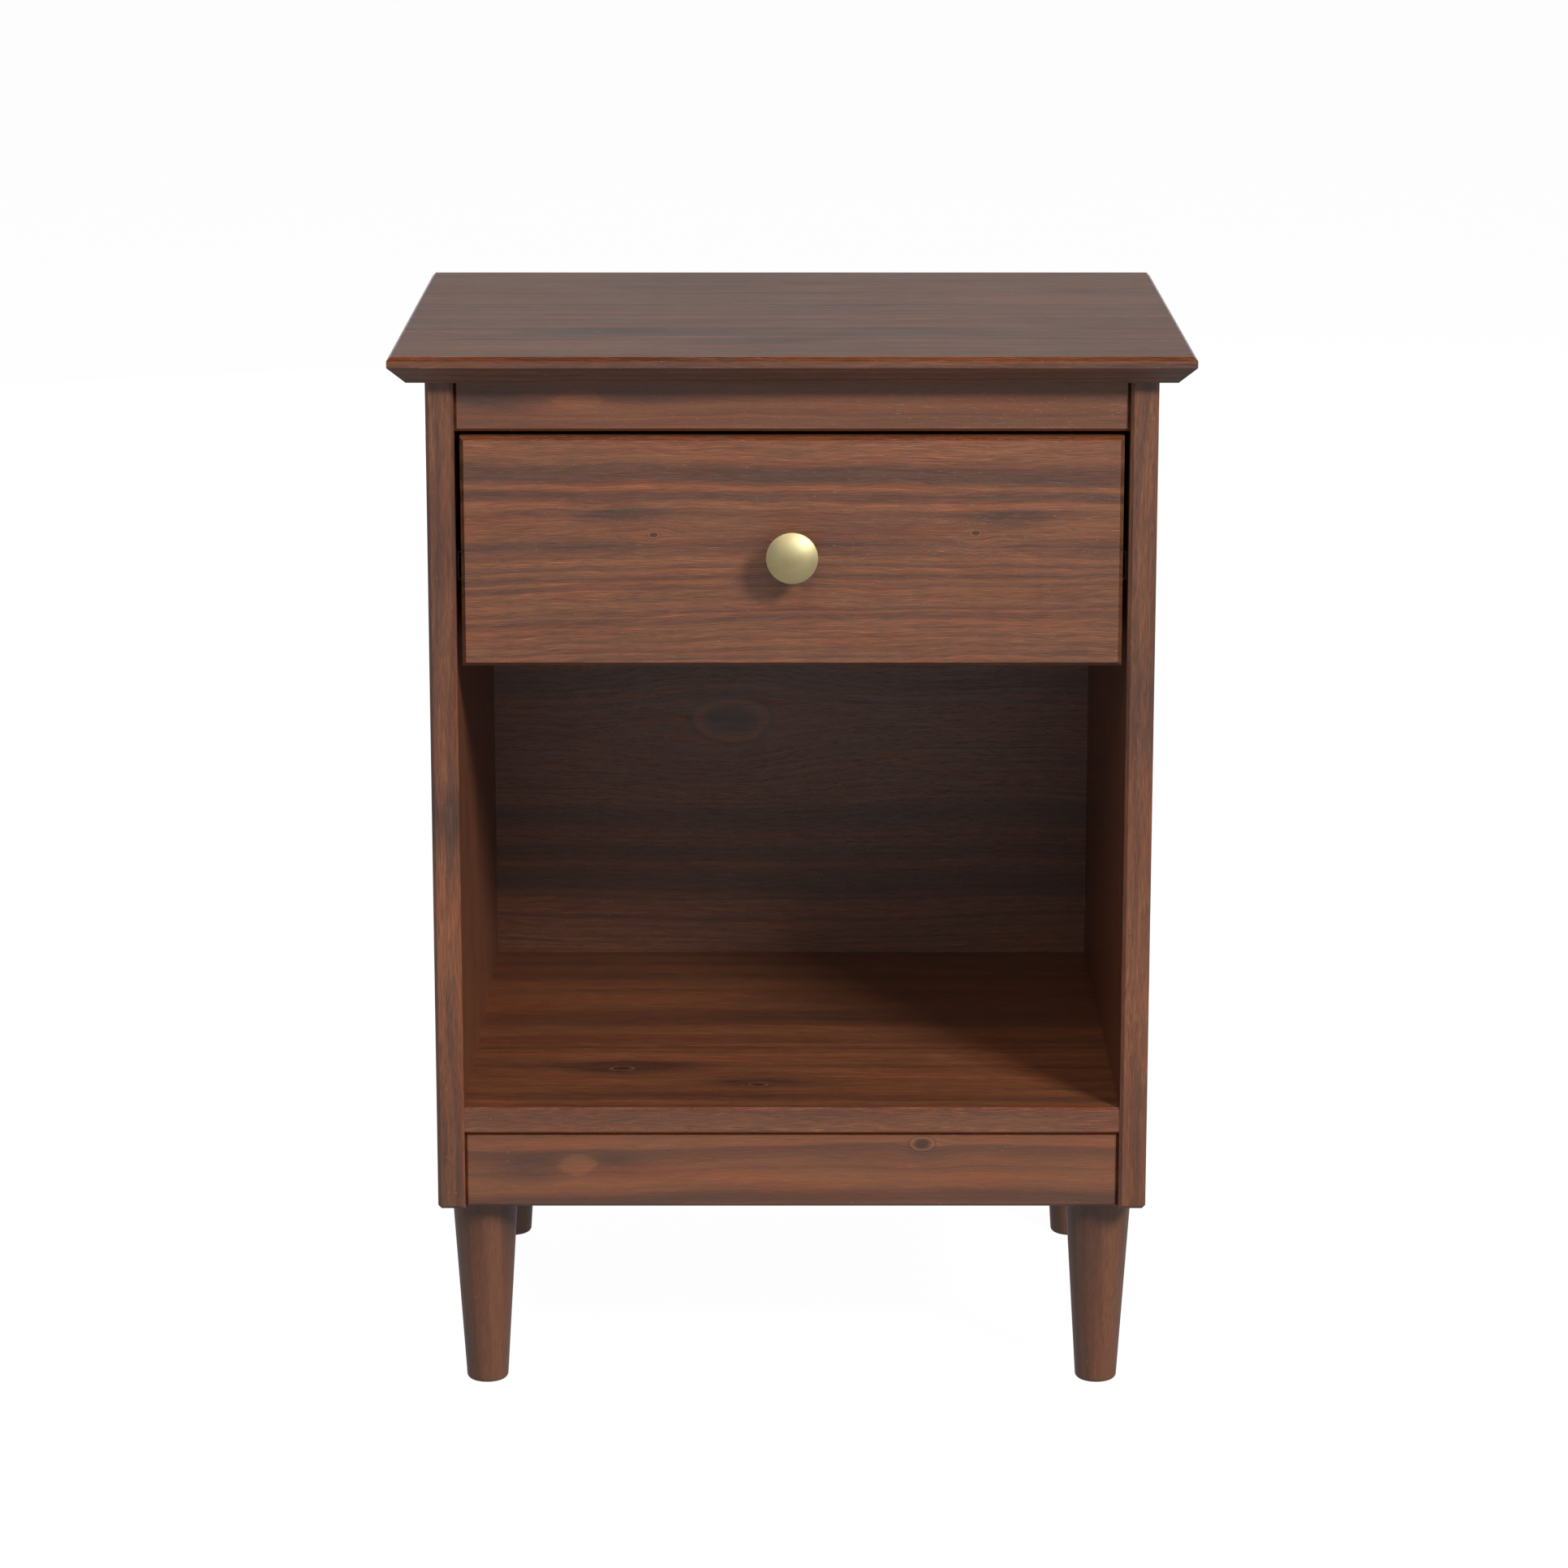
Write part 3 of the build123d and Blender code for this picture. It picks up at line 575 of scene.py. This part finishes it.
def metal(name, colours, roughness, metallic):
    """Rolled or plated metal with slight blotches."""
    g = new_material(name)
    place = g.coordinates("Object")
    blotch_place, streak_place = [
        g.vector(*[g.times(part, scale) for part, scale in zip(place, scales)])
        for scales in (METAL_BLOTCHES, ROLLING_MARKS)
    ]
    blotch = g.noise(blotch_place, 3.0, 0.6)
    streak = g.noise(streak_place)
    base = g.mix(g.step(blotch, *METAL_CHANGE), *colours)
    rough = g.add(roughness, g.times(g.minus(streak, 0.5), ROLLING_ROUGHNESS))
    return g.finish(base, rough, streak, ROLLING_RELIEF, Metallic=metallic)


# ---- The boards ----
BOARDS = {
    "top_panel": dict(
        axes="XYZ", seed=1.3, pith=(-30, -160), contrast=1.4, tone=0.92, painted_side_shade=0.8,
        joints=((-41, 23), (72, -57)),
        knots=((-109, -85, 4.0),),
        clouds=((-100, -82, 60, 11, 0.7), (-10, -125, 40, 9, 0.55), (-70, 118, 70, 8, 0.4),
                (60, -90, 120, 14, 0.35), (150, 60, 90, 14, -0.4), (-150, -150, 70, 12, -0.4)),
    ),
    "left_side_panel": dict(
        axes="ZYX", seed=2.9, pith=(-40, 70), tone=1.0, wear=1.6,
        clouds=((-80, -179, 24, 8, -0.9), (-10, -179, 16, 8, 0.7), (150, -179, 30, 8, 0.5)),
    ),
    "right_side_panel": dict(
        axes="ZYX", seed=4.1, pith=(-25, -80), tone=0.95, wear=1.6,
        clouds=((60, -179, 30, 8, 0.5), (-120, -179, 40, 8, -0.5)),
    ),
    "back_panel": dict(
        axes="XZY", seed=5.7, pith=(160, -60), tone=0.95,
        knots=((-39, -30, 15.5),),
        bands=((-5, 8, 0.5), (-95, 9, 0.7), (-120, 5, 0.5), (-140, 9, 0.7)),
    ),
    "bottom_shelf": dict(
        axes="XYZ", seed=6.2, pith=(40, -120), spacing=17.0, contrast=0.7, tone=1.02, wear=2.2,
        knots=((-102, -94, 5.0), (-20, -128, 4.0)),
        bands=((-66, 5, -0.6), (-50, 4, 0.5)),
        clouds=((-100, -92, 42, 10, 1.7), (-20, -127, 34, 8, 1.2), (95, -112, 60, 3, -1.3),
                (-60, -150, 90, 8, 0.7), (20, 20, 120, 16, 0.8), (-120, 60, 80, 18, -0.7)),
    ),
    "upper_front_rail": dict(
        axes="XZY", seed=7.8, pith=(10, 60), contrast=0.75, fibres=0.4,
        bands=((-11, 3, 0.35), (-2, 4, -0.3)),
        clouds=((-170, 3, 26, 7, 1.3), (-85, 5, 30, 5, 0.7)),
        eyes=((-122, 3, 16, 6, -0.7),),
    ),
    "lower_front_apron": dict(
        axes="XZY", seed=8.4, pith=(-30, 70), contrast=0.75, tone=1.15, fibres=0.4,
        knots=((77, 16, 4.6),),
        bands=((-17, 5, 0.4), (-5, 4.5, -0.3), (8, 5, 0.2)),
        clouds=((-155, 4, 22, 8, 0.8), (-104, 6, 16, 4, 0.7)),
        eyes=((-126.5, 4.5, 13, 7, -0.6),),
    ),
    "drawer_front": dict(
        axes="XZY", seed=9.6, pith=(48, 45), contrast=0.85, painted_side_shade=0.7,
        knots=((-79, 10, 2.3), (105, 11, 2.3)),
        bands=((59, 5, -0.4), (46.6, 5.7, 0.7), (38.3, 1.8, -0.5), (32.5, 2.8, 0.65),
               (27, 2, -0.5), (3, 5.5, 0.45), (-17, 1.5, 0.45), (-41, 2.2, 0.4)),
        clouds=((-98, 22, 24, 7, 0.9), (30, 14, 40, 5, 0.4), (121, 21, 26, 6, 0.8),
                (-60, 4, 30, 4, -0.4), (95, 2, 40, 4, -0.4)),
    ),
}
LEG = dict(
    axes="ZXY", pith=(-60, 50), spacing=7.0, contrast=0.75, tone=0.86, fibres=0.6,
    # Painted highlight and shade: a lighter band just right of each leg's middle and a darker band
    # left of it, following the key light from the right.
    bands=((5.5, 3.8, -0.6), (-8, 6, 0.3)),
)
LEGS = ("front_left_leg", "front_right_leg", "rear_left_leg", "rear_right_leg")
FIRST_LEG_SEED = 23.6
LEG_SEED_STEP = 1.7
INNER_BOARDS = (
    "left_drawer_side", "right_drawer_side", "drawer_back", "drawer_bottom",
    "upper_rear_rail", "lower_rear_rail", "left_top_cleat", "right_top_cleat",
    "front_left_corner_block", "front_right_corner_block",
    "rear_left_corner_block", "rear_right_corner_block",
)
FIRST_INNER_SEED = 30
INNER_SEED_STEP = 1.9


def longest_first(node):
    """The axes of a node's box from its longest side to its shortest."""
    low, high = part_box(node)
    size = high - low
    return "".join(sorted("XYZ", key=lambda axis: -size["XYZ".index(axis)]))


def paint(node, material):
    """Gives a CAD node one material."""
    mesh = NODES[node].data
    mesh.materials.clear()
    mesh.materials.append(material)


def dress_boards():
    """Gives every board and leg its own wood."""
    boards = dict(BOARDS)
    for number, node in enumerate(LEGS):
        boards[node] = dict(LEG, seed=FIRST_LEG_SEED + LEG_SEED_STEP * number)
    for number, node in enumerate(INNER_BOARDS):
        seed = FIRST_INNER_SEED + INNER_SEED_STEP * number
        boards[node] = dict(
            axes=longest_first(node), seed=seed, palette=PLAIN_WOOD, contrast=0.7
        )
    for node, settings in boards.items():
        paint(node, wood(f"wood_{node}", node, **settings))


def dress_fittings():
    """Gives every other node the finish of its material slot."""
    finishes = {
        "satin_brass": brass(),
        "slide_steel": metal("slide_steel", BLACKENED, roughness=0.42, metallic=0.6),
        "zinc_steel": metal("zinc_steel", ZINC, roughness=0.34, metallic=1.0),
        "bearing_steel": metal("bearing_steel", POLISHED, roughness=0.12, metallic=1.0),
        "beech": wood("beech", "carcass_dowels", "XYZ", seed=80.0, pith=(40, 40),
                      palette=PLAIN_WOOD),
    }
    for part in frame["record"]["subparts"]:
        if part["material_slot"] in finishes:
            paint(part["node"], finishes[part["material_slot"]])


WELD_DISTANCE = 0.01 * MM


def smooth_knob():
    """Joins the knob's facets and evens its shading, which has a flaw at the turning centre."""
    knob = NODES["knob"]
    weld = knob.modifiers.new("weld", "WELD")
    weld.merge_threshold = WELD_DISTANCE
    knob.modifiers.new("even_shading", "WEIGHTED_NORMAL")


# ---- Studio ----
FLOOR_SIZE = 60.0
FLOOR_COLOUR = (0.12, 0.12, 0.12, 1)
FLOOR_SEEN = 0.97  # the floor's own glow, as the camera sees it
FLOOR_MIRRORED = 0.3  # the same in reflections
LENS = 113.2
CAMERA_DISTANCE = 3.025
CAMERA_PITCH = math.radians(13.15)
CAMERA_AIM = MIDDLE + Vector((-4.6, 0.0, 23.0)) * MM
HORIZON_LEVEL = 0.4
BEHIND_LEVEL = 0.6
OVERHEAD_LEVEL = 0.04
HORIZON_GLOW = (0.42, 0.0)  # of the way's upward part
BEHIND_GLOW = (0.0, 0.7)  # of the way's backward part


def aim(item, target):
    """Turns a light or camera so that it looks at the target."""
    item.rotation_euler = (target - item.location).to_track_quat("-Z", "Y").to_euler()


def add_camera():
    """A long lens, a little above the table and straight in front of it."""
    data = bpy.data.cameras.new("camera")
    data.lens = LENS
    camera = bpy.data.objects.new("camera", data)
    bpy.context.scene.collection.objects.link(camera)
    back = Vector((0, -math.cos(CAMERA_PITCH), math.sin(CAMERA_PITCH)))
    camera.location = CAMERA_AIM + back * CAMERA_DISTANCE
    aim(camera, CAMERA_AIM)
    bpy.context.scene.camera = camera


def add_area_light(name, azimuth, elevation, distance, size, power, sheen=True):
    """A square softbox at an azimuth to the right of the front, aimed at the table's middle."""
    data = bpy.data.lights.new(name, "AREA")
    data.size = size
    data.energy = power
    light = bpy.data.objects.new(name, data)
    bpy.context.scene.collection.objects.link(light)
    turn, lift = math.radians(azimuth), math.radians(elevation)
    away = Vector(
        (math.sin(turn) * math.cos(lift), -math.cos(turn) * math.cos(lift), math.sin(lift))
    )
    light.location = MIDDLE + away * distance
    light.visible_glossy = sheen
    aim(light, MIDDLE)


def add_floor():
    """A plain white floor."""
    mesh = bpy.data.meshes.new("floor")
    half = FLOOR_SIZE / 2
    corners = [(-half, -half, 0), (half, -half, 0), (half, half, 0), (-half, half, 0)]
    mesh.from_pydata(corners, [], [(0, 1, 2, 3)])
    floor = bpy.data.objects.new("floor", mesh)
    bpy.context.scene.collection.objects.link(floor)
    g = new_material("floor")
    diffuse = g.node("ShaderNodeBsdfDiffuse")
    diffuse.inputs["Color"].default_value = FLOOR_COLOUR
    ray = g.node("ShaderNodeLightPath").outputs
    seen = g.times(ray["Is Camera Ray"], FLOOR_SEEN)
    mirrored = g.times(ray["Is Glossy Ray"], FLOOR_MIRRORED)
    glow = g.node("ShaderNodeEmission")
    g.feed(glow.inputs["Strength"], g.add(seen, mirrored))
    both = g.node("ShaderNodeAddShader")
    g.feed(both.inputs[0], diffuse.outputs[0])
    g.feed(both.inputs[1], glow.outputs[0])
    output = g.node("ShaderNodeOutputMaterial")
    g.feed(output.inputs["Surface"], both.outputs[0])
    mesh.materials.append(g.owner)


def add_world():
    """A white surround, bright near the horizon, most of all behind; plain white to the camera."""
    world = bpy.data.worlds.new("studio")
    bpy.context.scene.world = world
    g = Graph(world)
    way = g.coordinates("Generated")
    low = g.step(way[2], *HORIZON_GLOW)
    behind = g.times(g.step(way[1], *BEHIND_GLOW), BEHIND_LEVEL)
    level = g.add(OVERHEAD_LEVEL, g.times(low, g.add(HORIZON_LEVEL, behind)))
    seen = g.node("ShaderNodeLightPath").outputs["Is Camera Ray"]
    background = g.node("ShaderNodeBackground")
    background.inputs["Color"].default_value = (1, 1, 1, 1)
    g.feed(background.inputs["Strength"], g.math("MAXIMUM", level, seen))
    output = g.node("ShaderNodeOutputWorld")
    g.feed(output.inputs["Surface"], background.outputs[0])


dress_boards()
dress_fittings()
smooth_knob()
add_floor()
add_world()
add_area_light("key", azimuth=36, elevation=32.5, distance=5.0, size=1.1, power=165)
add_area_light("fill", azimuth=-14, elevation=46, distance=4.0, size=2.4, power=48)
add_area_light("rear", azimuth=200, elevation=4, distance=4.0, size=1.0, power=70, sheen=False)
add_camera()
bpy.context.scene.view_settings.view_transform = "Standard"
